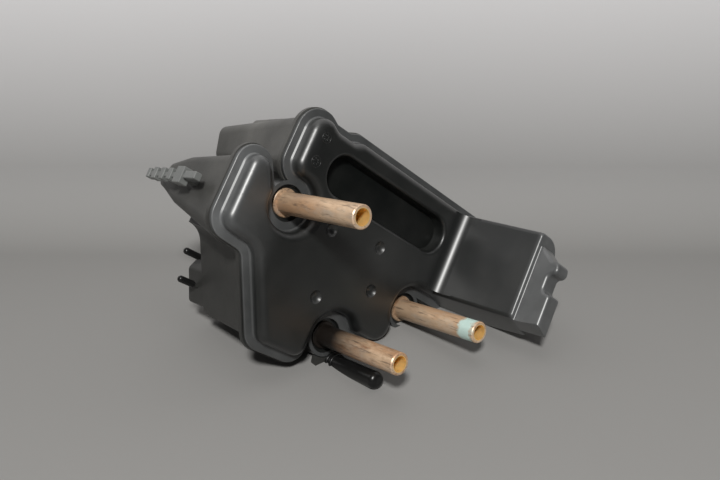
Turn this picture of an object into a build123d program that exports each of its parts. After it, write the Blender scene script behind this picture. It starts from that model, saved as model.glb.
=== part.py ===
from build123d import *

# Moulded vacuum reservoir of an engine: two welded plastic shells on three spacer sleeves.
#
# Lengths are in millimetres. Each piece is drawn in the mould's frame: x runs along the straight
# top edge, y up beside it, and z is the draw direction, from the weld flange towards the front.
# in_frame then stands the mould's frame up, so that the part has X along the top edge, +Z up and
# its sleeves along -Y. The origin is on the first sleeve's axis, in the front face of the flange.

import os
from math import atan, degrees, radians, tan

os.makedirs("parts", exist_ok=True)

# Bolt positions, and the spacer sleeves that carry the reservoir
bolt_a = (0.0, 0.0)
bolt_b = (59.2, -54.1)
bolt_c = (107.4, -20.7)
bolts = (bolt_a, bolt_b, bolt_c)
sleeve_od = 12.0
sleeve_bore = 8.3
sleeve_reach = 61.0
sleeve_tail = 8.0
collar_od = 15.6
collar_thickness = 1.7
collar_edge = 0.4
tip_chamfer = 0.5
press_clearance = 0.05

# Front cover: weld flange, dome and the wall behind them
wall = 2.6
ledge = 4.7
cover_flange = 2.4
dome_height = 8.0
dome_edge = 4.6
dome_draft = 3.0
flange_edge = 0.6
foot_chamfer = 0.8
notch_radius = 14.5
boss_radius = 12.0
seat_radius = 9.9
seat_depth = 3.0
boss_length = 10.0

# Outline of the dome at the flange
least_radius = 0.3
left_edge = -33.5
left_top = 14.0
lobe_width = 10.5
left_foot = -26.5
waist = (-10.5, -29.0)
upper_edge = -9.0
top_edge = 49.3
dip_centre = 14.5
dip_depth = 2.8
dip_width = 12.0
right_end = 150.0
lower_right = 97.0
lower_right_drop = 12.3
lower_right_rise = 7.0
middle_foot = -46.0
base_left = 14.8
base_foot = -71.5

# Long pocket and round dimples pressed into the dome
pocket_left = 10.5
pocket_right = 108.3
pocket_foot = 15.0
pocket_width = 22.6
pocket_depth = 13.0
pocket_floor = 9.5
pocket_rim = 2.2
dimples = ((35.5, -38.0), (70.3, -21.2), (64.0, 2.8), (27.5, -2.1))
dimple_ball = 4.6
dimple_depth = 2.0

# Arm: the deep box that stands forward at the right-hand end
arm_root = 118.0
arm_lean = 7.9
arm_reach = 63.0
arm_fillet = 8.0
arm_far = 150.0
arm_far_draft = 4.5
arm_top = 48.6
arm_top_draft = 0.6
arm_foot = -4.6
arm_foot_fall = 6.0
arm_edge = 2.4
arm_far_corner = 11.5
shoulder = 2.4
shoulder_edge = 1.5
tip_length = 17.0
tip_thickness = 10.0
tip_corner = 2.4
tip_root = 1.0
slot_foot = 13.6
slot_top = 24.6
slot_depth = 5.6
slot_corner = 2.8
nose_top = 33.0
nose_corner = 3.2
tip_heel = 41.0

# Rear shell: flange, body and the two lobes that reach furthest back
rear_flange = 2.6
rear_margin = 0.7
body_depth = 57.0
body_draft = 2.5
body_top_fall = 5.0
lobe_depth = 87.0
left_lobe_steps = (
    (0.0, -33.3, 13.8, -33.4, 0.6),
    (60.0, -31.8, 8.3, -20.0, -1.0),
    (78.0, -31.0, 3.7, -13.6, -3.0),
    (lobe_depth, -28.5, -5.0, -11.2, -8.0),
)
left_lobe_corners = (
    (6.3, 8.0, 3.0, 4.0, 6.0),
    (5.0, 5.0, 3.0, 3.0, 4.0),
    (4.5, 4.5, 2.5, 3.0, 3.5),
    (2.5, 2.5, 1.5, 1.5, 2.0),
)
upper_lobe_left = -11.5
upper_lobe_right = 46.0
upper_lobe_depth = 89.0
upper_lobe_back = ((-8.5, 41.0), (-2.0, 19.0), (43.0, 19.0), (43.0, 41.0))

# Vacuum outlet below the second bolt, with its rubber cap
outlet = (70.0, -66.0)
outlet_base_radius = 11.5
outlet_base_front = 1.0
outlet_base_height = 4.4
outlet_stem_radius = 6.5
outlet_back = -22.0
outlet_neck = (68.5, 80.5)
outlet_od = 6.4
outlet_bore = 3.4
outlet_reach = 34.0
cap_od = 9.6
cap_reach = 41.0
cap_gap = 0.05
cap_lip_od = 11.4
cap_lip = 1.8
cap_end_radius = 3.2

# Two small ports at the back, closed by round-ended caps
port_block = ((5.0, -48.0), (14.5, -66.0), (42.0, -66.0), (42.0, -36.0), (10.0, -36.0))
port_block_depth = 18.0
port_block_edge = 3.0
port_heights = (-40.6, -56.4)
port_tips = (-8.0, -4.0)
port_behind = 8.0
port_root = 11.0
port_od = 2.6
port_cap_od = 4.0
port_cap_length = 10.5

# Toothed cable clip on the left-hand lobe
clip_place = (-39.0, -7.0)
clip_start = 25.0
clip_fall = 8.0
clip_foot = (5.0, 10.0)
clip_stem = (4.0, 5.4, 51.0)
clip_tooth = (5.8, 7.2, 1.3)
clip_first_tooth = 32.0
clip_pitch = 9.0
clip_teeth = 3
clip_collar = (7.0, 8.5, 9.0)
clip_collar_start = 13.0

# Reach of a cut that passes beyond the part on all sides
beyond = 400.0

in_frame = Rotation(90, 0, 0)


def corners(rows, margin=0.0):
    """Closed face from rows of x, y and corner radius, grown on all sides by the margin.

    The rows run anticlockwise. Growing widens outer corners and tightens inner ones.
    """
    count = len(rows)
    points = []
    radii = []
    for index, (x, y, radius) in enumerate(rows):
        before = rows[index - 1]
        after = rows[(index + 1) % count]
        way_in = Vector(x - before[0], y - before[1]).normalized()
        way_out = Vector(after[0] - x, after[1] - y).normalized()
        normals = Vector(way_in.Y + way_out.Y, -way_in.X - way_out.X)
        shift = normals * (margin / (1 + way_in.dot(way_out)))
        turns_out = way_in.cross(way_out).Z > 0
        points.append((x + shift.X, y + shift.Y))
        grown = radius + margin if turns_out else radius - margin
        radii.append(max(grown, least_radius) if radius else 0)
    return make_face(FilletPolyline(*points, radius=radii, close=True))


def shell_outline(margin=0.0):
    """Outline of the dome and of the rear body, where they stand on the flange."""
    dip_half = dip_width / 2
    round_corner = notch_radius - 0.1
    a_left, a_right = bolt_a[0] - notch_radius, bolt_a[0] + notch_radius
    a_foot, a_top = bolt_a[1] - notch_radius, bolt_a[1] + notch_radius
    b_left, b_top = bolt_b[0] - notch_radius, bolt_b[1] + notch_radius
    c_left, c_top = bolt_c[0] - notch_radius, bolt_c[1] + notch_radius
    return corners([
        (left_edge, left_top, 6.3),
        (left_edge, left_foot, 8.0),
        (*waist, 11.0),
        (base_left, base_foot, 7.0),
        (b_left, base_foot, 6.5),
        (b_left, b_top, round_corner),
        (bolt_b[0] + 6.8, b_top, 12.0),
        (bolt_b[0] + notch_radius, middle_foot, 5.0),
        (lower_right, middle_foot, 9.5),
        (lower_right, bolt_c[1] - lower_right_drop, 6.0),
        (c_left, bolt_c[1] - lower_right_drop + lower_right_rise, 6.0),
        (c_left, c_top, round_corner),
        (right_end, c_top, 6.5),
        (right_end, top_edge, 9.0),
        (dip_centre + dip_width, top_edge, 8.0),
        (dip_centre + dip_half, top_edge - dip_depth, 8.0),
        (dip_centre - dip_half, top_edge - dip_depth, 8.0),
        (dip_centre - dip_width, top_edge, 6.5),
        (upper_edge, top_edge, 9.5),
        (upper_edge, a_top, 8.0),
        (a_right, a_top, round_corner),
        (a_right, a_foot, round_corner),
        (a_left, a_foot, notch_radius - 1.5),
        (a_left, bolt_a[1] + 0.4, 4.0),
        (left_edge + lobe_width, left_top, 6.0),
    ], margin)


def flange_outline(margin):
    """Weld flange outline: the dome's outline grown by the ledge, with the sleeve bosses."""
    flange = shell_outline(ledge + margin)
    for place in bolts:
        flange += Pos(*place) * Circle(boss_radius)
    return flange


def drafted(foot, height, draft, margin=0.0):
    """Shell outline drawn from the height of its foot, drawing in by the draft angle.

    A negative height draws towards the back.
    """
    inset = abs(height) * tan(radians(draft))
    sections = [
        Pos(0, 0, foot) * shell_outline(margin),
        Pos(0, 0, foot + height) * shell_outline(margin - inset),
    ]
    return loft(sections if height > 0 else sections[::-1], ruled=True)


def rounded_box(x, y, z, corner):
    """Upright box between two x, two y and two z values, with round vertical edges."""
    face = Rectangle(x[1] - x[0], y[1] - y[0])
    face = fillet(face.vertices(), corner)
    return Pos((x[0] + x[1]) / 2, (y[0] + y[1]) / 2, z[0]) * extrude(face, z[1] - z[0])


def rod(place, z_from, z_to, radius):
    """Cylinder along z at an x, y place."""
    return Pos(*place, z_from) * extrude(Circle(radius), z_to - z_from)


def edges_at(solid, height):
    """Edges that lie in the plane at this height."""
    return solid.edges().filter_by_position(Axis.Z, height - 0.01, height + 0.01)


def pocket_tool(margin=0.0):
    """Long trough with round ends and a round floor, grown by the margin."""
    tool = rounded_box(
        (pocket_left - margin, pocket_right + margin),
        (pocket_foot - margin, pocket_foot + pocket_width + margin),
        (dome_height - pocket_depth - margin, dome_height + 1),
        pocket_width / 2 - 0.1 + margin,
    )
    floor = edges_at(tool, dome_height - pocket_depth - margin)
    return fillet(floor, pocket_floor + margin)


def dome():
    """Raised face of the cover with its round edge, the long pocket and the dimples."""
    body = drafted(-cover_flange, dome_height + cover_flange, dome_draft)
    body = fillet(edges_at(body, dome_height), dome_edge)
    inset = (cover_flange + foot_chamfer) * tan(radians(dome_draft)) + 0.03
    body += loft([
        shell_outline(foot_chamfer - inset),
        Pos(0, 0, foot_chamfer) * shell_outline(-inset),
    ], ruled=True)
    body -= pocket_tool()
    rim = edges_at(body, dome_height).filter_by_position(Axis.X, pocket_left - 1, pocket_right + 1)
    rim = rim.filter_by_position(Axis.Y, pocket_foot - 1, pocket_foot + pocket_width + 1)
    body = fillet(rim, pocket_rim)
    for x, y in dimples:
        body -= Pos(x, y, dome_height - dimple_depth + dimple_ball) * Sphere(dimple_ball)
    return body


def arm_section(z, margin=0.0):
    """Section across the arm at a height above the flange, grown by the margin."""
    near = arm_root + arm_lean * (z - dome_height) / (arm_reach - dome_height)
    far = arm_far - z * tan(radians(arm_far_draft))
    top = arm_top - z * tan(radians(arm_top_draft))
    return Pos(0, 0, z) * corners([
        (near, top, arm_edge),
        (near, arm_foot, arm_edge),
        (far, arm_foot - arm_foot_fall, arm_edge),
        (far, top, arm_far_corner),
    ], margin)


def corner_strip(x, z, radius, lean, y):
    """Concave fillet along y, in the corner between a level face and a wall that leans away."""
    run = radius * tan(radians(45 - lean / 2)) + 0.02
    up = 1.5 * radius
    inside = radius / 3
    drift = up * tan(radians(lean))
    profile = corners([
        (x - run, z - inside, 0),
        (x + inside, z - inside, 0),
        (x + inside + drift, z + up, 0),
        (x + drift, z + up, 0),
        (x, z, radius),
        (x - run, z, 0),
    ])
    return Pos(0, y[1], 0) * extrude(Plane.XZ * profile, y[1] - y[0])


def arm_root_fillet():
    """Fillet between the dome's face and the near wall of the arm."""
    lean = degrees(atan(arm_lean / (arm_reach - dome_height)))
    ends = (arm_foot + arm_edge / 2, arm_top - arm_edge / 2)
    return corner_strip(arm_root, dome_height, arm_fillet, lean, ends)


def arm_tip():
    """Thin block on the arm's end: a slot in its front edge with a nose above it."""
    reach = arm_reach + tip_length
    slot = reach - slot_depth
    foot = arm_foot - 2 * arm_foot_fall
    profile = corners([
        (foot, arm_reach - 2, 0),
        (tip_heel, arm_reach - 2, 0),
        (tip_heel - 0.7, arm_reach + 1.2, 1.0),
        (nose_top, slot - 1, 3.0),
        (nose_top, reach - 1.6, nose_corner),
        (slot_top + 1.4, reach - 0.2, nose_corner),
        (slot_top, slot, slot_corner),
        (slot_foot + 1.2, slot, slot_corner),
        (slot_foot, reach, tip_corner),
        (foot, reach, 0),
    ])
    near = arm_root + arm_lean + shoulder
    block = Plane.YZ * Pos(0, 0, near) * extrude(profile, tip_thickness)
    side = block.faces().sort_by(Axis.X)[0].edges()
    side = side.filter_by_position(Axis.Z, arm_reach - 1, reach + 1)
    block = fillet(side, tip_corner - 0.2)
    block += corner_strip(near, arm_reach, tip_root, 0, (foot, tip_heel - 1))
    return block & loft([arm_section(0, -0.02), arm_section(reach + 2, -0.02)], ruled=True)


def arm():
    """Deep box at the right-hand end, standing forward from the dome."""
    box = loft([arm_section(0), arm_section(arm_reach)], ruled=True)
    box = fillet(edges_at(box, arm_reach), shoulder_edge)
    return box + arm_root_fillet() + arm_tip()


def cover_hollow():
    """Space between the cover's walls, left out behind the pocket."""
    hollow = drafted(-cover_flange - 1, dome_height + cover_flange + 1 - wall, dome_draft, -wall)
    hollow += loft([arm_section(0, -wall), arm_section(arm_reach - wall, -wall)], ruled=True)
    return hollow - pocket_tool(wall)


def sleeve_boss(place):
    """Boss under a sleeve's collar, reaching back past the weld."""
    return rod(place, -boss_length, 0, boss_radius)


def sleeve_seat(place):
    """Recess for a sleeve's collar and the hole for its tail."""
    seat = rod(place, -seat_depth, 1, seat_radius)
    return seat + rod(place, -boss_length - 1, 1, sleeve_od / 2 + press_clearance)


def front_cover():
    """Front moulding: weld flange, dome, arm, bosses and the walls of the pocket."""
    plate = Pos(0, 0, -cover_flange) * extrude(flange_outline(0), cover_flange)
    plate = fillet(edges_at(plate, 0), flange_edge)
    cover = plate + dome() + arm()
    cover -= cover_hollow()
    back = pocket_tool(wall) - pocket_tool()
    back &= Box(beyond, beyond, beyond, align=(Align.CENTER, Align.CENTER, Align.MAX))
    cover += back
    for place in bolts:
        cover += sleeve_boss(place)
    for place in bolts:
        cover -= sleeve_seat(place)
    return cover


def rear_start(margin):
    """Height where the rear walls start inside the flange, or a hollow opens in front of it."""
    return -cover_flange + (1 if margin < 0 else -1)


def left_lobe(margin=0.0):
    """Left-hand lobe of the rear shell, drawn to its back, grown by the margin.

    A hollow stops at the last step but one, where the lobe is still wide.
    """
    inner = bolt_a[0] - notch_radius
    sections = []
    for (depth, edge, top, foot, side), radii in zip(left_lobe_steps, left_lobe_corners):
        points = [
            (edge, top),
            (edge, foot),
            (inner - depth / lobe_depth, foot),
            (inner - depth / lobe_depth, side),
            (left_edge + lobe_width, top),
        ]
        rows = [(*point, radius) for point, radius in zip(points, radii)]
        height = -depth if depth else rear_start(margin)
        sections.append(Pos(0, 0, height) * corners(rows, margin))
    if margin < 0:
        sections.pop()
    return loft(sections[::-1], ruled=True)


def upper_lobe(margin=0.0):
    """Upper lobe of the rear shell, drawn to its back, grown by the margin."""
    foot = bolt_a[1] + notch_radius + 1
    root = corners([
        (upper_lobe_left, top_edge - 1, 8.0),
        (upper_lobe_left, foot, 6.0),
        (upper_lobe_right, foot, 6.0),
        (upper_lobe_right, top_edge - 1, 6.0),
    ], margin)
    back = corners([(*point, 6.0) for point in upper_lobe_back], margin)
    start = rear_start(margin)
    return loft([Pos(0, 0, -upper_lobe_depth - margin) * back, Pos(0, 0, start) * root], ruled=True)


def rear_body(margin=0.0):
    """Main body of the rear shell, without the left-hand lobe, grown by the margin."""
    start = rear_start(margin)
    body = drafted(start, -body_depth - margin - start, body_draft, margin)
    left = Box(beyond, beyond, beyond, align=(Align.MAX, Align.MIN, Align.CENTER))
    body -= Pos(bolt_a[0] - notch_radius - 2.5 - margin, waist[1] - 6, 0) * left
    above = Box(beyond, beyond, beyond, align=(Align.CENTER, Align.MIN, Align.CENTER))
    return body - Pos(0, top_edge + margin, 0) * Rotation(-body_top_fall, 0, 0) * above


def port_box(margin=0.0):
    """Block behind the body that carries the two small ports, grown by the margin."""
    face = corners([(*point, port_block_edge) for point in port_block], margin)
    foot = -body_depth - port_block_depth - margin
    return Pos(0, 0, foot) * extrude(face, port_block_depth + margin + 8)


def lobe_passage():
    """Opening inside the rear shell between the left-hand lobe and the body."""
    x, y = bolt_a[0] - notch_radius, bolt_a[1] - notch_radius - wall
    return rounded_box((x - 6, x + 3), (y - 7, y - 0.5), (-20, -cover_flange - 2), 2.0)


def rear_box(margin=0.0):
    """Body, lobes and port block of the rear shell, grown by the margin."""
    body = left_lobe(margin) + rear_body(margin)
    return body + upper_lobe(margin) + port_box(margin)


def outlet_boss():
    """Round base of the vacuum outlet with its spigot, and the neck that joins it to the body."""
    y = outlet[1]
    base = rod(outlet, outlet_base_front - outlet_base_height, outlet_base_front, outlet_base_radius)
    stem = rod(outlet, outlet_back, outlet_base_front - 1, outlet_stem_radius)
    neck = rounded_box(outlet_neck, (y, middle_foot + 6), (outlet_back, -boss_length - 2), 2.5)
    boss = base + stem + neck - rod(bolt_b, outlet_back - 1, 2, boss_radius + 0.4)
    return boss + rod(outlet, outlet_base_front - 1, outlet_reach, outlet_od / 2)


def outlet_duct():
    """Bore of the outlet, and the way through the neck into the hollow of the body."""
    x, y = outlet
    radius = outlet_bore / 2
    floor = outlet_back + wall
    turn = (outlet_neck[0] + outlet_neck[1]) / 2 + 1
    middle = floor + radius + 0.5
    across = Pos(x, y, middle) * Rotation(0, 90, 0) * extrude(Circle(radius - 0.2), turn - x)
    up = Rotation(-90, 0, 0) * extrude(Circle(radius), middle_foot + 2 * wall - y + radius)
    return rod(outlet, floor, outlet_reach + 1, radius) + across + Pos(turn, y - radius, middle) * up


def port_stub(height, tip):
    """Closed stub of one small port, pointing left."""
    stub = extrude(Circle(port_od / 2), port_root - tip - 2)
    return Pos(tip + 2, height, -body_depth - port_behind) * Rotation(0, 90, 0) * stub


def rear_shell():
    """Rear moulding: flange, body with its lobes, the outlet and the small ports."""
    plate = Pos(0, 0, -cover_flange - rear_flange) * extrude(
        flange_outline(rear_margin), rear_flange
    )
    shell = plate + rear_box() + outlet_boss()
    for height, tip in zip(port_heights, port_tips):
        shell += port_stub(height, tip)
    shell -= rear_box(-wall) + lobe_passage()
    shell -= outlet_duct()
    for place in bolts:
        shell -= rod(place, -boss_length - 1, 1, boss_radius + press_clearance)
    return shell


def spacer_sleeve():
    """Metal spacer: a tube with a collar, one bolt goes through it."""
    start = (0, 0)
    tube = rod(start, -sleeve_tail, sleeve_reach, sleeve_od / 2)
    tube = chamfer(edges_at(tube, sleeve_reach), tip_chamfer)
    collar = rod(start, -seat_depth, collar_thickness - seat_depth, collar_od / 2)
    collar = chamfer(edges_at(collar, collar_thickness - seat_depth), collar_edge)
    return tube + collar - rod(start, -sleeve_tail - 1, sleeve_reach + 1, sleeve_bore / 2)


def outlet_cap():
    """Rubber cap pushed over the outlet, with two lip rings at its mouth."""
    cap = rod(outlet, outlet_base_front, cap_reach, cap_od / 2)
    cap = fillet(edges_at(cap, cap_reach), cap_end_radius)
    for step in (0, 2 * cap_lip):
        foot = outlet_base_front + step
        lip = rod(outlet, foot, foot + cap_lip, cap_lip_od / 2)
        cap += fillet(lip.edges(), 0.5)
    return cap - rod(outlet, outlet_base_front - 1, outlet_reach + cap_gap, outlet_od / 2 + cap_gap)


def port_cap(height, tip):
    """Round-ended cap on one small port."""
    radius = port_cap_od / 2
    cap = extrude(Circle(radius), port_cap_length)
    cap = fillet(edges_at(cap, 0), radius - 0.1)
    cap -= Pos(0, 0, 2 - cap_gap) * extrude(Circle(port_od / 2 + cap_gap), port_cap_length)
    return Pos(tip, height, -body_depth - port_behind) * Rotation(0, 90, 0) * cap


def cable_clip():
    """Toothed pin beside the left-hand lobe, on a foot that stands on the lobe's wall."""
    behind = (Align.CENTER, Align.CENTER, Align.MAX)
    pin = Box(*clip_stem, align=behind)
    pin += Pos(0, 0, -clip_collar_start) * Box(*clip_collar, align=behind)
    for step in range(clip_teeth):
        pin += Pos(0, 0, -clip_first_tooth - step * clip_pitch) * Box(*clip_tooth, align=behind)
    pin = Rotation(-clip_fall, 0, 0) * pin
    height, length = clip_foot
    reach = left_edge + wall - clip_place[0] + clip_stem[0] / 2
    foot = Box(reach, height, length, align=(Align.MIN, Align.CENTER, Align.MAX))
    clip = pin + Pos(-clip_stem[0] / 2, -0.3, -0.5) * foot
    return Pos(*clip_place, -clip_start) * clip - left_lobe()


def pieces():
    """Every piece of the reservoir by its name, in the mould's frame."""
    sleeve = spacer_sleeve()
    return {
        "front_cover": front_cover(),
        "rear_shell": rear_shell(),
        "spacer_sleeve_a": Pos(*bolt_a) * sleeve,
        "spacer_sleeve_b": Pos(*bolt_b) * sleeve,
        "spacer_sleeve_c": Pos(*bolt_c) * sleeve,
        "outlet_cap": outlet_cap(),
        "port_cap_upper": port_cap(port_heights[0], port_tips[0]),
        "port_cap_lower": port_cap(port_heights[1], port_tips[1]),
        "cable_clip": cable_clip(),
    }


if __name__ == "__main__":
    for name, piece in pieces().items():
        export_step(in_frame * piece, f"parts/{name}.step")
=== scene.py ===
import math
import bpy
from mathutils import Matrix, Vector


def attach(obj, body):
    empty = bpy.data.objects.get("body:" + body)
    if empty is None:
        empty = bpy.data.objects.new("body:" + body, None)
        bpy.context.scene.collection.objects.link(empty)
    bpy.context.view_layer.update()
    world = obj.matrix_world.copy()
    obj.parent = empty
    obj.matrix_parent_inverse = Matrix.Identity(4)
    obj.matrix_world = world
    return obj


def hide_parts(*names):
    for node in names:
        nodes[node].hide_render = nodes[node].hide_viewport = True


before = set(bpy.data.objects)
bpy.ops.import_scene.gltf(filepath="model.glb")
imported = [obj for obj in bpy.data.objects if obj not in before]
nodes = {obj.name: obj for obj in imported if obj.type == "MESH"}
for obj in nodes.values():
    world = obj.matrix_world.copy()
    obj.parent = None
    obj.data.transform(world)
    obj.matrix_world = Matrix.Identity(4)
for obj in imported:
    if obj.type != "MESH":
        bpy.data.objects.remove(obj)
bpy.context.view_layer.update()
bpy.context.view_layer.update()
scene = bpy.context.scene

# All lengths are in metres, in the part's own frame. A range is where a mask starts and ends,
# with the values it has there if they are not 0 and 1.

# Camera: where it stood, and which way it looked
CAMERA_PLACE = Vector((-0.2226, -0.3320, -0.0655))
CAMERA_RIGHT = Vector((0.667, -0.637, 0.386))
CAMERA_AHEAD = Vector((0.6335, 0.758, 0.1555))
CAMERA_LENS = 38.75
SENSOR_WIDTH = 36.0
NEAR_LIMIT = 0.01

# Floor: its up direction, how far below the camera it lies, and where it bends up
FLOOR_UP = Vector((-0.62, -0.19, 0.76)).normalized()
FLOOR_DROP = 0.243
FLOOR_BEND = 0.50
FLOOR_FRONT = -1.5
FLOOR_HALF_WIDTH = 2.5
BEND_RADIUS = 0.05
BEND_STEPS = 8
BACKDROP_HEIGHT = 2.0

# Felt of the floor and backdrop: its tones, and the heights and side distances of the changes.
# The flat floor is darker (painted shade), the backdrop lighter (painted light), and far to the
# right the floor turns nearly black (painted shade).
FELT_FLAT_PAINTED_SHADE = (0.205, 0.202, 0.195)
FELT_UPRIGHT_PAINTED_LIGHT = (0.62, 0.615, 0.625)
FELT_FAR_PAINTED_SHADE = (0.03, 0.03, 0.03)
FELT_PAINTED_LIGHT_RISE = (-0.01, 0.20)
FELT_PAINTED_SHADE_SIDE = (0.34, 0.60)
FELT_SPECULAR = 0.1

# Lamps: the key lamp stands near the camera, the room lamp hangs over the part
PART_MIDDLE = Vector((0.06, 0.0, 0.0))
KEY_WAY = Vector((-0.758, -0.633, 0.1555)).normalized()
KEY_DISTANCE = 1.6
KEY_SIZE = (0.22, 0.18)
KEY_POWER = 29.0
KEY_COLOUR = (1.0, 0.99, 0.97)
ROOM_HEIGHT = 1.3
ROOM_FORWARD = 0.1
ROOM_SIZE = (1.0, 0.6)
ROOM_POWER = 2.2
ROOM_COLOUR = (1.0, 0.99, 0.98)
WORLD_COLOUR = (0.80, 0.80, 0.80, 1.0)
WORLD_STRENGTH = 0.08

# Dust: how it follows the sides that face up, and how patches and specks break it up
DUST_COLOUR = (0.30, 0.29, 0.27)
DUST_FACING = (-0.1, 0.9, 0.25, 1.0)
DUST_CLOUD = (0.38, 0.72)
DUST_CLOUD_DETAIL = 5.0
SPECK_SCALE = 2600.0
SPECK_EDGE = (0.60, 0.74)
SPECK_SHARE = 0.5

# Cover: black plastic, and the zones where it is paler, along Y or X: haze on the flange, a paler
# left end of the left lobe, and painted sheen (painted reflection and highlight) on the arm's
# side and end
COVER_BLACK = (0.0040, 0.0048, 0.0046)
COVER_DUST = 0.05
COVER_ROUGHNESS = (0.3, 0.7, 0.34, 0.42)
COVER_SPECULAR = 0.20
HAZE_AND_SHEEN_COLOUR = (0.95, 0.98, 1.0)
HAZE_AND_SHEEN_CLOUDS = (0.25, 0.75, 0.6, 1.3)
FLANGE_FRONT = (-0.0030, -0.0005)
FLANGE_BACK = (0.0004, 0.0010, 0.042, 0.0)
LEFT_LOBE = (0.0, -0.036, 0.0, 0.060)
ARM_SIDE_SHEEN = (0.118, 0.150, 0.0, 0.046)
ARM_END_SHEEN = (-0.0600, -0.0635, 0.0, 0.06)

# Long pocket of the cover: its middle line in X and Z. Its floor has no coat, so it renders
# darker: painted shade of the deep pocket.
POCKET_ENDS = (0.0218, 0.0970)
POCKET_LINE = 0.0263
POCKET_RADIUS = 0.0113
POCKET_EDGE = 0.001
POCKET_SHADE_EDGE = (POCKET_RADIUS * 0.9, POCKET_RADIUS * 1.1)
SKIN_IOR = 1.55
SKIN_ROUGHNESS = 0.38

# Shell: duller black plastic that turns greyer with height
SHELL_BLACK = (0.010, 0.0105, 0.010)
SHELL_DUST = 0.4
SHELL_ROUGHNESS = (0.3, 0.7, 0.40, 0.52)
UPPER_GREY = (0.18, 0.176, 0.163)
UPPER_GREY_HEIGHT = (-0.045, 0.045, 0.22, 0.85)
UPPER_GREY_SHARE = 0.30

# Sleeves: each one's axis in X and Z, how dark its foot is, how stained it is, and its deposit
SLEEVES = {
    "a": ((0.0, 0.0), 0.25, 0.55, 0.0),
    "b": ((0.0592, -0.0541), 1.0, 0.85, 0.0),
    "c": ((0.1074, -0.0207), 0.30, 0.40, 1.0),
}
BORE_EDGE = (0.00425, 0.00455, 1.0, 0.0)
BRASS = (1.0, 0.70, 0.26)
PLATE = (0.66, 0.47, 0.31)
STAIN = (0.27, 0.13, 0.065)
STAIN_BLOTCHES = (0.40, 0.66)
STAIN_STREAKS = (0.46, 0.68)
STREAK_SHARE = 0.6
WARM = (0.62, 0.33, 0.16)
WARM_PATCHES = (0.50, 0.66, 0.0, 0.55)
GREY = (0.52, 0.47, 0.39)
GREY_PATCHES = (0.48, 0.70, 0.0, 0.55)
SCRATCH = (0.16, 0.11, 0.075)
SCRATCH_EDGE = (0.54, 0.66, 0.0, 0.75)
STAIN_STRETCH = (1.0, 0.4, 1.0)
SCRATCH_STRETCH = (1.0, 0.10, 1.0)
FOOT = (0.012, 0.009, 0.007)
FOOT_REACH = (-0.042, -0.012)
DEPOSIT = (0.62, 0.80, 0.74)
DEPOSIT_FRONT = (-0.0555, -0.0535)
DEPOSIT_BACK = (-0.0475, -0.0450, 1.0, 0.0)
DEPOSIT_RAGGED = 0.009
SLEEVE_METALLIC = (0.0, 1.0, 0.30, 0.70)
SLEEVE_ROUGHNESS = (0.0, 1.0, 0.36, 0.55)

# Rubber of the caps and plastic of the clip: the two tones that they vary between
RUBBER_TONES = ((0.004, 0.004, 0.004), (0.009, 0.009, 0.009))
CLIP_TONES = ((0.085, 0.090, 0.087), (0.16, 0.165, 0.16))

# Cable clip: a thin stem with a flat foot, a tall tab, three fins and an end plate
CLIP_START = Vector((-0.041, 0.0228, -0.0068))
CLIP_WAY = Vector((0.0, 0.0510, -0.0025))
CLIP_PARTS = (
    # along from, along to, width in X, height in Z, lift
    (0.000, 0.052, 0.0030, 0.0030, -0.0004),
    (0.000, 0.011, 0.0044, 0.0042, 0.0),
    (0.0125, 0.0200, 0.0056, 0.0094, -0.0004),
    (0.0250, 0.0290, 0.0050, 0.0068, -0.0002),
    (0.0335, 0.0375, 0.0050, 0.0068, -0.0002),
    (0.0420, 0.0460, 0.0050, 0.0068, -0.0002),
    (0.0500, 0.0530, 0.0046, 0.0056, -0.0002),
)
CLIP_ARM = (0.0130, 0.0195, 0.0110, 0.0034)
CLIP_EDGE = 0.0005

# Date rings on the face: place in X and Z, radius, and number of ticks
FACE = -0.008
DATE_RINGS = (((0.0004, 0.0250), 0.0030, 6), ((0.0005, 0.0388), 0.0028, 8))
RING_LINE = 0.00016
RING_SEGMENTS = 48
LINE_SEGMENTS = 8
TICK_LENGTH = 0.42
TICK_MIDDLE = 0.52


# Building blocks of the materials

def new_material(name):
    """A fresh material with its tree, its Principled shader and its Object coordinates."""
    material = bpy.data.materials.new(name)
    material.use_nodes = True
    tree = material.node_tree
    shader = tree.nodes["Principled BSDF"]
    where = tree.nodes.new("ShaderNodeTexCoord")
    return material, tree, shader, where.outputs["Object"]


def new_group(name, inputs, outputs):
    """An empty shader node group. An input is a label and a value, or None for a vector."""
    tree = bpy.data.node_groups.new(name, "ShaderNodeTree")
    for label, value in inputs:
        kind = "NodeSocketVector" if value is None else "NodeSocketFloat"
        socket = tree.interface.new_socket(label, in_out="INPUT", socket_type=kind)
        if value is not None:
            socket.default_value = value
    for label, kind in outputs:
        tree.interface.new_socket(label, in_out="OUTPUT", socket_type=kind)
    start = tree.nodes.new("NodeGroupInput")
    end = tree.nodes.new("NodeGroupOutput")
    return tree, start, end


def use_group(tree, group, where, **values):
    """Places a node group in a material, with its own values."""
    node = tree.nodes.new("ShaderNodeGroup")
    node.node_tree = group
    tree.links.new(where, node.inputs["Vector"])
    for label, value in values.items():
        node.inputs[label.replace("_", " ")].default_value = value
    return node


def noise(tree, vector, scale, detail=3.0, roughness=0.5):
    """A noise texture over a vector."""
    node = tree.nodes.new("ShaderNodeTexNoise")
    node.inputs["Scale"].default_value = scale
    node.inputs["Detail"].default_value = detail
    node.inputs["Roughness"].default_value = roughness
    tree.links.new(vector, node.inputs["Vector"])
    return node.outputs["Fac"]


def ramp(tree, value, low, high, low_out=0.0, high_out=1.0):
    """Maps a value from one range to another, held at its ends."""
    node = tree.nodes.new("ShaderNodeMapRange")
    node.inputs["From Min"].default_value = low
    node.inputs["From Max"].default_value = high
    node.inputs["To Min"].default_value = low_out
    node.inputs["To Max"].default_value = high_out
    tree.links.new(value, node.inputs["Value"])
    return node.outputs["Result"]


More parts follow.
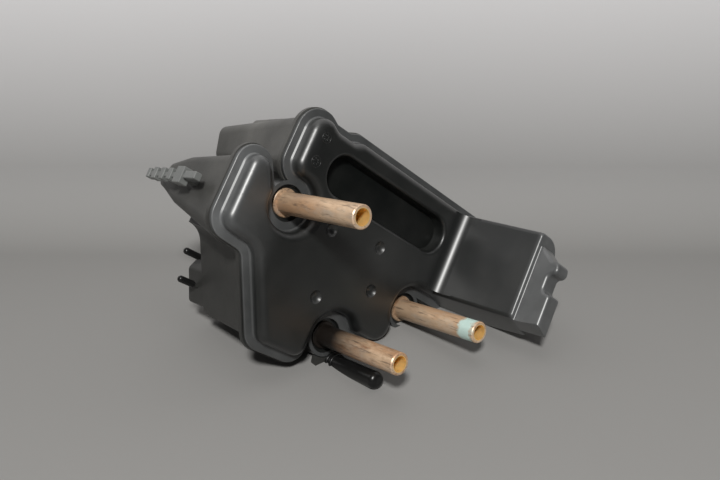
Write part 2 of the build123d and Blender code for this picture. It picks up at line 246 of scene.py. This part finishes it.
def blend_colours(tree, factor, first, second):
    """Mixes two colours by a mask. A colour is a tuple or a socket."""
    node = tree.nodes.new("ShaderNodeMix")
    node.data_type = "RGBA"
    tree.links.new(factor, node.inputs["Factor"])
    for colour, label in ((first, 6), (second, 7)):
        if isinstance(colour, tuple):
            node.inputs[label].default_value = (*colour, 1.0)
        else:
            tree.links.new(colour, node.inputs[label])
    return node.outputs[2]


def arithmetic(tree, operation, first, second=0.0):
    """Adds, multiplies or otherwise joins two values."""
    node = tree.nodes.new("ShaderNodeMath")
    node.operation = operation
    for slot, value in enumerate((first, second)):
        if isinstance(value, (int, float)):
            node.inputs[slot].default_value = value
        else:
            tree.links.new(value, node.inputs[slot])
    return node.outputs[0]


def add(tree, first, second):
    return arithmetic(tree, "ADD", first, second)


def multiply(tree, first, second):
    return arithmetic(tree, "MULTIPLY", first, second)


def length_of(tree, first, second):
    """Length of the vector that has these two parts."""
    square = add(tree, multiply(tree, first, first), multiply(tree, second, second))
    return arithmetic(tree, "SQRT", square)


def separate(tree, vector):
    """The X, Y and Z outputs of a vector."""
    node = tree.nodes.new("ShaderNodeSeparateXYZ")
    tree.links.new(vector, node.inputs["Vector"])
    return node.outputs


def dot_product(tree, vector, way):
    """How far a vector goes along a fixed direction."""
    node = tree.nodes.new("ShaderNodeVectorMath")
    node.operation = "DOT_PRODUCT"
    node.inputs[1].default_value = tuple(way)
    tree.links.new(vector, node.inputs[0])
    return node.outputs["Value"]


def stretched(tree, vector, scale):
    """The vector scaled on each axis, so that noise over it is drawn out."""
    node = tree.nodes.new("ShaderNodeMapping")
    node.inputs["Scale"].default_value = scale
    tree.links.new(vector, node.inputs["Vector"])
    return node.outputs["Vector"]


def bump(tree, height, strength, distance, shader):
    """Feeds a height through a Bump node into the shader's normal."""
    node = tree.nodes.new("ShaderNodeBump")
    node.inputs["Strength"].default_value = strength
    node.inputs["Distance"].default_value = distance
    tree.links.new(height, node.inputs["Height"])
    tree.links.new(node.outputs["Normal"], shader.inputs["Normal"])


# Materials

def make_dust_group():
    """Dust that settles on the sides that face up, broken up by patches and specks."""
    tree, start, end = new_group(
        "Settled Dust", [("Vector", None), ("Patch Scale", 30.0), ("Amount", 0.5)],
        [("Mask", "NodeSocketFloat")])
    where = start.outputs["Vector"]
    facing = tree.nodes.new("ShaderNodeNewGeometry")
    up = ramp(tree, dot_product(tree, facing.outputs["Normal"], FLOOR_UP), *DUST_FACING)
    patches = tree.nodes.new("ShaderNodeTexNoise")
    patches.inputs["Detail"].default_value = DUST_CLOUD_DETAIL
    tree.links.new(where, patches.inputs["Vector"])
    tree.links.new(start.outputs["Patch Scale"], patches.inputs["Scale"])
    cloud = ramp(tree, patches.outputs["Fac"], *DUST_CLOUD)
    specks = ramp(tree, noise(tree, where, SPECK_SCALE, 2.0), *SPECK_EDGE)
    mask = add(tree, multiply(tree, up, cloud), multiply(tree, specks, SPECK_SHARE))
    tree.links.new(multiply(tree, mask, start.outputs["Amount"]), end.inputs["Mask"])
    return tree


def pocket_distance(tree, parts):
    """Distance from the long pocket's middle line, seen from the front."""
    half = (POCKET_ENDS[1] - POCKET_ENDS[0]) / 2
    along = arithmetic(tree, "SUBTRACT", parts["X"], POCKET_ENDS[0] + half)
    along = arithmetic(tree, "SUBTRACT", arithmetic(tree, "ABSOLUTE", along), half)
    along = arithmetic(tree, "MAXIMUM", along, 0.0)
    beside = arithmetic(tree, "SUBTRACT", parts["Z"], POCKET_LINE)
    return length_of(tree, along, beside)


def make_cover_plastic(dust):
    """Satin black moulded plastic: hazy on the flange, paler at the left lobe's left end, with
    painted sheen (painted reflection and highlight) on the arm's side and end.
    """
    material, tree, shader, where = new_material("cover_plastic")
    parts = separate(tree, where)
    distance = pocket_distance(tree, parts)
    flange = multiply(tree, ramp(tree, parts["Y"], *FLANGE_FRONT),
                      ramp(tree, parts["Y"], *FLANGE_BACK))
    flange = multiply(tree, flange,
                      ramp(tree, distance, POCKET_RADIUS, POCKET_RADIUS + POCKET_EDGE))
    # One pale mask: haze on the flange, the paler left lobe, and painted sheen on the arm's side
    # and end.
    haze_and_sheen = flange
    for axis, zone in (("X", LEFT_LOBE), ("X", ARM_SIDE_SHEEN), ("Y", ARM_END_SHEEN)):
        haze_and_sheen = add(tree, haze_and_sheen, ramp(tree, parts[axis], *zone))
    clouds = ramp(tree, noise(tree, where, 55.0, 4.0, 0.6), *HAZE_AND_SHEEN_CLOUDS)
    colour = blend_colours(tree, multiply(tree, haze_and_sheen, clouds), COVER_BLACK, HAZE_AND_SHEEN_COLOUR)
    dusty = use_group(tree, dust, where, Patch_Scale=45.0, Amount=COVER_DUST).outputs["Mask"]
    colour = blend_colours(tree, dusty, colour, DUST_COLOUR)
    tree.links.new(colour, shader.inputs["Base Color"])
    smudges = noise(tree, where, 60.0, 5.0, 0.6)
    tree.links.new(ramp(tree, smudges, *COVER_ROUGHNESS), shader.inputs["Roughness"])
    shader.inputs["Specular IOR Level"].default_value = COVER_SPECULAR
    # Painted shade: the coat stops at the pocket's edge, so the pocket's floor renders darker.
    tree.links.new(ramp(tree, distance, *POCKET_SHADE_EDGE), shader.inputs["Coat Weight"])
    shader.inputs["Coat IOR"].default_value = SKIN_IOR
    shader.inputs["Coat Roughness"].default_value = SKIN_ROUGHNESS
    bump(tree, noise(tree, where, 1500.0), 0.10, 0.0002, shader)
    return material


def make_shell_plastic(dust):
    """Duller black plastic, greyed by dust, and greyer towards its upper parts."""
    material, tree, shader, where = new_material("shell_plastic")
    dusty = use_group(tree, dust, where, Patch_Scale=32.0, Amount=SHELL_DUST).outputs["Mask"]
    # Greyer towards the top of the part, added over the dust.
    upper = ramp(tree, separate(tree, where)["Z"], *UPPER_GREY_HEIGHT)
    upper_grey = add(tree, multiply(tree, dusty, upper), multiply(tree, upper, UPPER_GREY_SHARE))
    colour = blend_colours(tree, upper_grey, SHELL_BLACK, UPPER_GREY)
    tree.links.new(colour, shader.inputs["Base Color"])
    smudges = noise(tree, where, 50.0, 5.0, 0.6)
    tree.links.new(ramp(tree, smudges, *SHELL_ROUGHNESS), shader.inputs["Roughness"])
    bump(tree, noise(tree, where, 1300.0), 0.2, 0.0003, shader)
    return material


def make_tarnish_group():
    """Worn plating of a sleeve: pale with brown stains, darker at the foot, brass in the bore."""
    tree, start, end = new_group(
        "Tarnished Plating",
        [("Vector", None), ("Axis X", 0.0), ("Axis Z", 0.0), ("Foot Dark", 0.3), ("Stain", 0.5),
         ("Deposit", 0.0)],
        [("Color", "NodeSocketColor"), ("Stain Mask", "NodeSocketFloat"),
         ("Bore Mask", "NodeSocketFloat")])
    where = start.outputs["Vector"]
    parts = separate(tree, where)
    across = arithmetic(tree, "SUBTRACT", parts["X"], start.outputs["Axis X"])
    above = arithmetic(tree, "SUBTRACT", parts["Z"], start.outputs["Axis Z"])
    bore = ramp(tree, length_of(tree, across, above), *BORE_EDGE)

    along = stretched(tree, where, STAIN_STRETCH)
    blotches = ramp(tree, noise(tree, along, 75.0, 6.0, 0.62), *STAIN_BLOTCHES)
    streaks = ramp(tree, noise(tree, along, 330.0, 5.0, 0.65), *STAIN_STREAKS)
    stain = add(tree, blotches, multiply(tree, streaks, STREAK_SHARE))
    stain = multiply(tree, stain, start.outputs["Stain"])
    stain = arithmetic(tree, "MINIMUM", stain, 1.0)
    warm = ramp(tree, noise(tree, along, 48.0, 3.0, 0.55), *WARM_PATCHES)
    grey = ramp(tree, noise(tree, along, 160.0, 4.0, 0.6), *GREY_PATCHES)
    fine = stretched(tree, where, SCRATCH_STRETCH)
    scratches = ramp(tree, noise(tree, fine, 620.0, 3.0, 0.7), *SCRATCH_EDGE)
    foot = multiply(tree, ramp(tree, parts["Y"], *FOOT_REACH), start.outputs["Foot Dark"])

    edge = noise(tree, where, 210.0, 3.0, 0.6)
    reach = add(tree, parts["Y"], multiply(tree, edge, DEPOSIT_RAGGED))
    band = multiply(tree, ramp(tree, reach, *DEPOSIT_FRONT), ramp(tree, reach, *DEPOSIT_BACK))
    band = multiply(tree, band, start.outputs["Deposit"])

    colour = blend_colours(tree, stain, PLATE, STAIN)
    for mask, layer in ((warm, WARM), (grey, GREY), (scratches, SCRATCH), (foot, FOOT),
                        (band, DEPOSIT), (bore, BRASS)):
        colour = blend_colours(tree, mask, colour, layer)
    tree.links.new(colour, end.inputs["Color"])
    tree.links.new(stain, end.inputs["Stain Mask"])
    tree.links.new(bore, end.inputs["Bore Mask"])
    return tree


def make_sleeve_metal(letter, tarnish, axis, foot_dark, stain, deposit):
    """Plated brass of one sleeve, stained along the tube and bright in its bore."""
    material, tree, shader, where = new_material("sleeve_metal_" + letter)
    wear = use_group(tree, tarnish, where, Axis_X=axis[0], Axis_Z=axis[1], Foot_Dark=foot_dark,
                     Stain=stain, Deposit=deposit)
    tree.links.new(wear.outputs["Color"], shader.inputs["Base Color"])
    tree.links.new(ramp(tree, wear.outputs["Bore Mask"], *SLEEVE_METALLIC),
                   shader.inputs["Metallic"])
    tree.links.new(ramp(tree, wear.outputs["Stain Mask"], *SLEEVE_ROUGHNESS),
                   shader.inputs["Roughness"])
    bump(tree, noise(tree, where, 900.0, 4.0), 0.25, 0.0003, shader)
    return material


def make_smooth(name, tones, scale, roughness, specular):
    """A smooth material that varies a little between two tones."""
    material, tree, shader, where = new_material(name)
    tone = blend_colours(tree, noise(tree, where, scale, 4.0), *tones)
    tree.links.new(tone, shader.inputs["Base Color"])
    shader.inputs["Roughness"].default_value = roughness
    shader.inputs["Specular IOR Level"].default_value = specular
    bump(tree, noise(tree, where, 1100.0), 0.15, 0.0002, shader)
    return material


def make_felt():
    """Pale grey felt with painted light and shade: darker where it lies flat, nearly black far to
    the right, lighter where it stands up, not seen from behind.
    """
    material, tree, shader, where = new_material("floor_sheet")
    right = floor_axes()[0]
    level = (CAMERA_PLACE - FLOOR_DROP * FLOOR_UP).dot(FLOOR_UP)
    # Painted shade on the flat floor and painted light on the backdrop: the tone rises with
    # height above the floor.
    painted_light_rise = ramp(tree, dot_product(tree, where, FLOOR_UP),
                level + FELT_PAINTED_LIGHT_RISE[0], level + FELT_PAINTED_LIGHT_RISE[1])
    start = CAMERA_PLACE.dot(right)
    # Painted shade: far to the right the flat floor turns nearly black.
    far_painted_shade = ramp(tree, dot_product(tree, where, right),
               start + FELT_PAINTED_SHADE_SIDE[0], start + FELT_PAINTED_SHADE_SIDE[1])
    far_painted_shade = multiply(tree, far_painted_shade, arithmetic(tree, "SUBTRACT", 1.0, painted_light_rise))
    colour = blend_colours(tree, painted_light_rise, FELT_FLAT_PAINTED_SHADE, FELT_UPRIGHT_PAINTED_LIGHT)
    colour = blend_colours(tree, far_painted_shade, colour, FELT_FAR_PAINTED_SHADE)
    tree.links.new(colour, shader.inputs["Base Color"])
    shader.inputs["Roughness"].default_value = 1.0
    shader.inputs["Specular IOR Level"].default_value = FELT_SPECULAR
    clear = tree.nodes.new("ShaderNodeBsdfTransparent")
    facing = tree.nodes.new("ShaderNodeNewGeometry")
    mix = tree.nodes.new("ShaderNodeMixShader")
    out = tree.nodes["Material Output"]
    tree.links.new(facing.outputs["Backfacing"], mix.inputs[0])
    tree.links.new(shader.outputs[0], mix.inputs[1])
    tree.links.new(clear.outputs[0], mix.inputs[2])
    tree.links.new(mix.outputs[0], out.inputs["Surface"])
    return material


# Small pieces that the solids leave to the scene

def join_pieces(pieces, name):
    """Joins objects into the first one, with their places in the mesh."""
    for piece in pieces:
        piece.select_set(True)
    bpy.context.view_layer.objects.active = pieces[0]
    bpy.ops.object.join()
    bpy.ops.object.transform_apply(location=True, rotation=True, scale=True)
    joined = bpy.context.object
    joined.name = name
    return joined


def make_clip():
    """The cable clip with its fins, set from the wall of the left lobe."""
    bpy.ops.object.select_all(action="DESELECT")
    way = CLIP_WAY.normalized()
    turn = way.to_track_quat("Y", "Z").to_euler()
    blocks = [(first, last, width, height, Vector((0, 0, lift)))
              for first, last, width, height, lift in CLIP_PARTS]
    blocks.append((*CLIP_ARM, Vector((CLIP_ARM[2] / 2, 0, 0))))
    pieces = []
    for first, last, width, height, shift in blocks:
        bpy.ops.mesh.primitive_cube_add(
            size=1, location=CLIP_START + way * (first + last) / 2 + shift, rotation=turn,
            scale=(width, last - first, height))
        pieces.append(bpy.context.object)
    clip = join_pieces(pieces, "cable_clip_fins")
    soften = clip.modifiers.new("soften", "BEVEL")
    soften.width = CLIP_EDGE
    soften.segments = 2
    bpy.ops.object.modifier_apply(modifier=soften.name)
    clip.data.materials.append(make_smooth("clip_plastic", CLIP_TONES, 130.0, 0.42, 1.0))
    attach(clip, "root")
    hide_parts("cable_clip")


def make_date_ring(name, place, radius, ticks, material):
    """One raised ring on the front face with short ticks that point to its middle."""
    bpy.ops.object.select_all(action="DESELECT")
    centre = Vector((place[0], FACE, place[1]))
    bpy.ops.mesh.primitive_torus_add(
        location=centre, rotation=(math.radians(90), 0, 0), major_radius=radius,
        minor_radius=RING_LINE, major_segments=RING_SEGMENTS, minor_segments=LINE_SEGMENTS)
    pieces = [bpy.context.object]
    for step in range(ticks):
        angle = 2 * math.pi * step / ticks
        way = Vector((math.cos(angle), 0, math.sin(angle)))
        bpy.ops.mesh.primitive_cylinder_add(
            vertices=LINE_SEGMENTS, radius=RING_LINE, depth=radius * TICK_LENGTH,
            location=centre + way * radius * TICK_MIDDLE,
            rotation=way.to_track_quat("Z", "Y").to_euler())
        pieces.append(bpy.context.object)
    ring = join_pieces(pieces, name)
    bpy.ops.object.shade_smooth()
    ring.data.materials.append(material)
    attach(ring, "root")


def dress(node, material):
    """Gives a CAD node its material."""
    node.data.materials.clear()
    node.data.materials.append(material)


# Stage: a pale sheet that runs back from the camera and bends up behind the part

def floor_axes():
    """The floor's own right, back and up directions."""
    back = (CAMERA_AHEAD - CAMERA_AHEAD.dot(FLOOR_UP) * FLOOR_UP).normalized()
    return back.cross(FLOOR_UP), back, FLOOR_UP


def make_sheet():
    """The floor and backdrop as one curved sheet."""
    right, back, up = floor_axes()
    below = CAMERA_PLACE - FLOOR_DROP * FLOOR_UP
    profile = [(FLOOR_FRONT, 0.0), (FLOOR_BEND, 0.0)]
    for step in range(1, BEND_STEPS + 1):
        angle = math.radians(90 * step / BEND_STEPS)
        profile.append((FLOOR_BEND + BEND_RADIUS * math.sin(angle),
                        BEND_RADIUS - BEND_RADIUS * math.cos(angle)))
    profile.append((FLOOR_BEND + BEND_RADIUS, BACKDROP_HEIGHT))
    points, faces = [], []
    for depth, height in profile:
        for side in (-FLOOR_HALF_WIDTH, FLOOR_HALF_WIDTH):
            points.append(below + back * depth + up * height + right * side)
    for step in range(len(profile) - 1):
        first = 2 * step
        faces.append((first, first + 1, first + 3, first + 2))
    mesh = bpy.data.meshes.new("floor")
    mesh.from_pydata(points, [], faces)
    sheet = bpy.data.objects.new("floor", mesh)
    scene.collection.objects.link(sheet)
    for polygon in mesh.polygons:
        polygon.use_smooth = True
    sheet.data.materials.append(make_felt())


def make_lamp(name, place, size, power, colour):
    """A rectangular lamp that looks at the middle of the part."""
    lamp = bpy.data.lights.new(name, "AREA")
    lamp.shape = "RECTANGLE"
    lamp.size, lamp.size_y = size
    lamp.energy = power
    lamp.color = colour
    holder = bpy.data.objects.new(name, lamp)
    holder.location = place
    holder.rotation_mode = "QUATERNION"
    holder.rotation_quaternion = (PART_MIDDLE - place).to_track_quat("-Z", "Y")
    scene.collection.objects.link(holder)


def make_world():
    """A weak grey light from all sides."""
    world = bpy.data.worlds.new("room")
    world.use_nodes = True
    background = world.node_tree.nodes["Background"]
    background.inputs["Color"].default_value = WORLD_COLOUR
    background.inputs["Strength"].default_value = WORLD_STRENGTH
    scene.world = world


def make_camera():
    """The camera of the photograph."""
    camera = bpy.data.cameras.new("camera")
    camera.lens = CAMERA_LENS
    camera.sensor_width = SENSOR_WIDTH
    camera.clip_start = NEAR_LIMIT
    viewer = bpy.data.objects.new("camera", camera)
    lean = CAMERA_RIGHT.dot(CAMERA_AHEAD) / CAMERA_AHEAD.length_squared
    side = (CAMERA_RIGHT - lean * CAMERA_AHEAD).normalized()
    ahead = CAMERA_AHEAD.normalized()
    turn = Matrix((side, side.cross(ahead), -ahead)).transposed()
    viewer.matrix_world = Matrix.Translation(CAMERA_PLACE) @ turn.to_4x4()
    scene.collection.objects.link(viewer)
    scene.camera = viewer


# The part

dust = make_dust_group()
tarnish = make_tarnish_group()
cover_plastic = make_cover_plastic(dust)
cap_rubber = make_smooth("cap_rubber", RUBBER_TONES, 90.0, 0.30, 0.35)
dress(nodes["front_cover"], cover_plastic)
dress(nodes["rear_shell"], make_shell_plastic(dust))
make_clip()
for letter, (axis, foot_dark, stain, deposit) in SLEEVES.items():
    dress(nodes["spacer_sleeve_" + letter],
          make_sleeve_metal(letter, tarnish, axis, foot_dark, stain, deposit))
for name in ("outlet_cap", "port_cap_upper", "port_cap_lower"):
    dress(nodes[name], cap_rubber)
for number, (place, radius, ticks) in enumerate(DATE_RINGS, 1):
    make_date_ring("date_ring_%d" % number, place, radius, ticks, cover_plastic)

# The stage

make_sheet()
right, back, up = floor_axes()
make_lamp("key_lamp", PART_MIDDLE + KEY_WAY * KEY_DISTANCE, KEY_SIZE, KEY_POWER, KEY_COLOUR)
make_lamp("room_lamp", PART_MIDDLE + up * ROOM_HEIGHT - back * ROOM_FORWARD, ROOM_SIZE,
          ROOM_POWER, ROOM_COLOUR)
make_world()
make_camera()
scene.view_settings.view_transform = "Standard"
